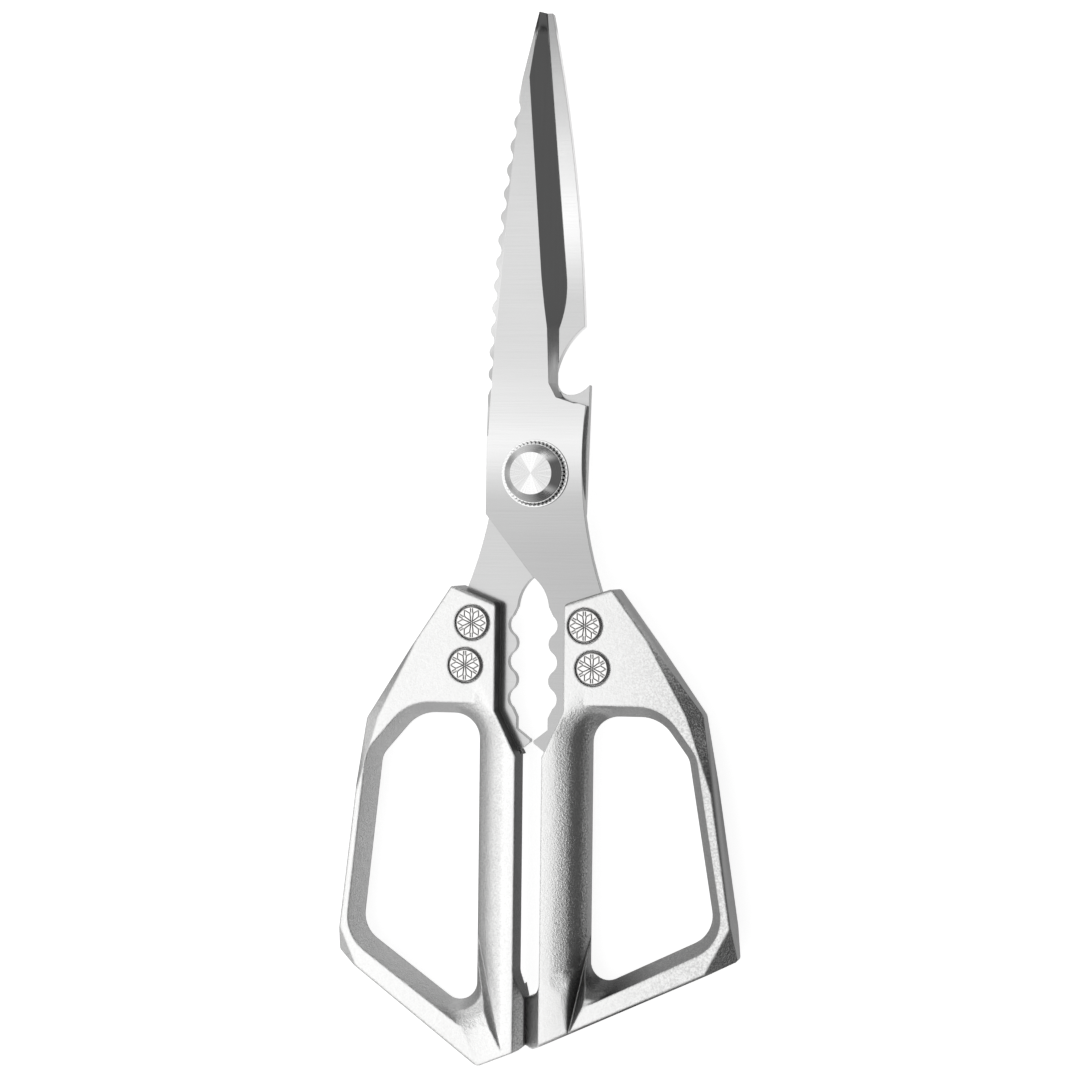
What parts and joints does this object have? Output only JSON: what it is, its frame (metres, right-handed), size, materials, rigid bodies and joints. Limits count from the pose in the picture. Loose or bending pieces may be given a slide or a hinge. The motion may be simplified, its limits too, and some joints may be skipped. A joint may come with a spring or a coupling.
{
  "type": "kitchen shears",
  "caption": "All-metal kitchen shears with scalloped spine, bottle opener notch, nutcracker teeth between the tangs and faceted loop handles on a knurled pivot nut.",
  "frame": {"origin": "on the pivot axis, at the flat back face of the pivot bolt's head, in the plane that the shears rest on", "axes": "+Y towards the tips, +X to the right of the decorated side seen tips up, +Z out of the decorated side"},
  "size_m": [0.0866, 0.2246, 0.0126],
  "materials": {
    "blade_steel": "satin, ground bevels",
    "handle_metal": "bead-blasted pearl satin, cast",
    "rivet_steel": "satin",
    "hardware_steel": "turned"
  },
  "bodies": {
    "rear_half": {"rear_blade": "blade_steel", "left_handle": "handle_metal", "pivot_bolt": "hardware_steel", "pivot_washer": "hardware_steel", "left_upper_rivet": "rivet_steel", "left_upper_rivet_socket": "rivet_steel", "left_lower_rivet": "rivet_steel", "left_lower_rivet_socket": "rivet_steel"},
    "front_half": {"front_blade": "blade_steel", "right_handle": "handle_metal", "right_upper_rivet": "rivet_steel", "right_upper_rivet_socket": "rivet_steel", "right_lower_rivet": "rivet_steel", "right_lower_rivet_socket": "rivet_steel"},
    "nut": {"pivot_nut": "hardware_steel"}
  },
  "joints": [
    {"name": "blade_pivot", "type": "hinge", "parent": "rear_half", "child": "front_half", "pos_m": [0, 0, 0.00678], "axis": [0, 0, 1], "range_deg": [0, 124]},
    {"name": "nut_turn", "type": "hinge", "parent": "rear_half", "child": "nut", "pos_m": [0, 0, 0.0101], "axis": [0, 0, 1], "range_deg": [0, 90]}
  ]
}
